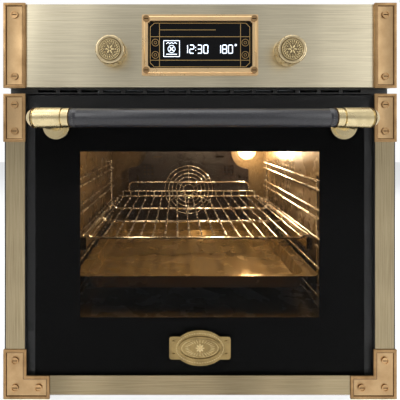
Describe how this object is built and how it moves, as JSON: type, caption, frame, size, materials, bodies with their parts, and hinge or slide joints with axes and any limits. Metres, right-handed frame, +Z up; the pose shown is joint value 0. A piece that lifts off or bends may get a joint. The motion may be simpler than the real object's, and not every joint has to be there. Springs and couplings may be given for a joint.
{
  "type": "built-in oven",
  "caption": "Built-in electric oven with a drop-down glass door, bar handle, dials, display, rack and tray.",
  "frame": {"origin": "middle of the casing's width, on its underside, at the rear face of the front flange", "axes": "+X to the user's right, +Y into the cabinet, +Z up; the front faces -Y"},
  "size_m": [0.595, 0.64, 0.6015],
  "materials": {
    "black_steel": "satin black enamel",
    "galvanised_steel": "zinc coated sheet",
    "screw_steel": "plain zinc",
    "cavity_enamel": "speckled glossy enamel",
    "mineral_wool": "matted fibre",
    "bare_steel": "machined",
    "element_steel": "oxidised sheath",
    "lamp_glass": "clear",
    "chrome_wire": "polished",
    "runner_steel": "satin",
    "tray_enamel": "glossy enamel",
    "seal_rubber": "matte",
    "brushed_bronze": "brushed champagne bronze",
    "antique_brass": "aged brass",
    "screw_brass": "aged brass",
    "frame_brass": "satin brass",
    "display_glass": "polished black",
    "module_plastic": "moulded",
    "board_laminate": "laminate",
    "knob_brass": "aged polished brass",
    "door_glass": "tinted with a black print round the window",
    "clear_glass": "clear",
    "badge_brass": "aged brass",
    "grip_leather": "stitched grain leather"
  },
  "bodies": {
    "casing": {"base_plate": "galvanised_steel", "blower_housing": "galvanised_steel", "blower_motor": "bare_steel", "bottom_element": "element_steel", "casing_screws": "screw_steel", "cavity_insulation": "mineral_wool", "cavity_liner": "cavity_enamel", "control_board": "board_laminate", "control_panel": "brushed_bronze", "convection_motor": "bare_steel", "display_bezel": "frame_brass", "display_glass": "display_glass", "display_module": "module_plastic", "door_seal": "seal_rubber", "door_switch": "module_plastic", "fan_baffle": "cavity_enamel", "fascia_screws": "screw_brass", "front_frame": "black_steel", "grill_element": "element_steel", "hinge_arms": "bare_steel", "hinge_receivers": "galvanised_steel", "lamp_bulb": "lamp_glass", "lamp_lens": "lamp_glass", "lamp_socket": "bare_steel", "panel_corner_plates": "antique_brass", "rear_panel": "galvanised_steel", "ring_heater": "element_steel", "rotary_encoders": "bare_steel", "runner_outer_rails": "runner_steel", "side_ladders": "chrome_wire", "side_panels": "galvanised_steel", "temperature_probe": "bare_steel", "terminal_box": "module_plastic", "top_cover": "galvanised_steel", "vent_strip": "black_steel"},
    "door": {"door_outer_glass": "door_glass", "door_middle_glass": "clear_glass", "door_inner_glass": "clear_glass", "door_rails": "black_steel", "door_side_profiles": "black_steel", "door_strips": "brushed_bronze", "door_corner_plates": "antique_brass", "door_screws": "screw_brass", "oval_badge": "badge_brass", "handle_grip": "grip_leather", "handle_core": "bare_steel", "handle_ends": "knob_brass", "handle_posts": "knob_brass", "hinge_carriers": "bare_steel", "hinge_pins": "bare_steel"},
    "left_dial": {"left_knob": "knob_brass", "left_knob_shaft": "bare_steel"},
    "right_dial": {"right_knob": "knob_brass", "right_knob_shaft": "bare_steel"},
    "hot_air_fan": {"convection_fan": "bare_steel"},
    "blower_wheel": {"blower_impeller": "bare_steel"},
    "rack": {"wire_rack": "chrome_wire", "runner_inner_rails": "runner_steel"},
    "tray": {"baking_tray": "tray_enamel"},
    "switch_pin": {"door_switch_plunger": "module_plastic"}
  },
  "joints": [
    {"name": "door_hinge", "type": "hinge", "parent": "casing", "child": "door", "pos_m": [0, -0.013, 0.009], "axis": [1, 0, 0], "range_deg": [0, 90], "stiffness_Nm_per_rad": 12, "springref_deg": -20.05},
    {"name": "left_knob_turn", "type": "hinge", "parent": "casing", "child": "left_dial", "pos_m": [-0.132, -0.03, 0.5256], "axis": [0, 1, 0], "continuous": true},
    {"name": "right_knob_turn", "type": "hinge", "parent": "casing", "child": "right_dial", "pos_m": [0.132, -0.03, 0.5256], "axis": [0, 1, 0], "continuous": true},
    {"name": "fan_spin", "type": "hinge", "parent": "casing", "child": "hot_air_fan", "pos_m": [0, 0.49, 0.234], "axis": [0, 1, 0], "continuous": true},
    {"name": "blower_spin", "type": "hinge", "parent": "casing", "child": "blower_wheel", "pos_m": [0, 0.4, 0.5], "axis": [0, 0, 1], "continuous": true},
    {"name": "rack_slide", "type": "slide", "parent": "casing", "child": "rack", "axis": [0, -1, 0], "range_m": [0, 0.3]},
    {"name": "tray_slide", "type": "slide", "parent": "casing", "child": "tray", "axis": [0, -1, 0], "range_m": [0, 0.25]},
    {"name": "switch_press", "type": "slide", "parent": "casing", "child": "switch_pin", "axis": [0, 1, 0], "range_m": [0, 0.003], "stiffness_N_per_m": 200}
  ],
  "couplings": [
    {"joint": "rack_slide", "follows": "door_hinge", "m_per_rad": 0.19079},
    {"joint": "tray_slide", "follows": "door_hinge", "m_per_rad": 0.159}
  ]
}
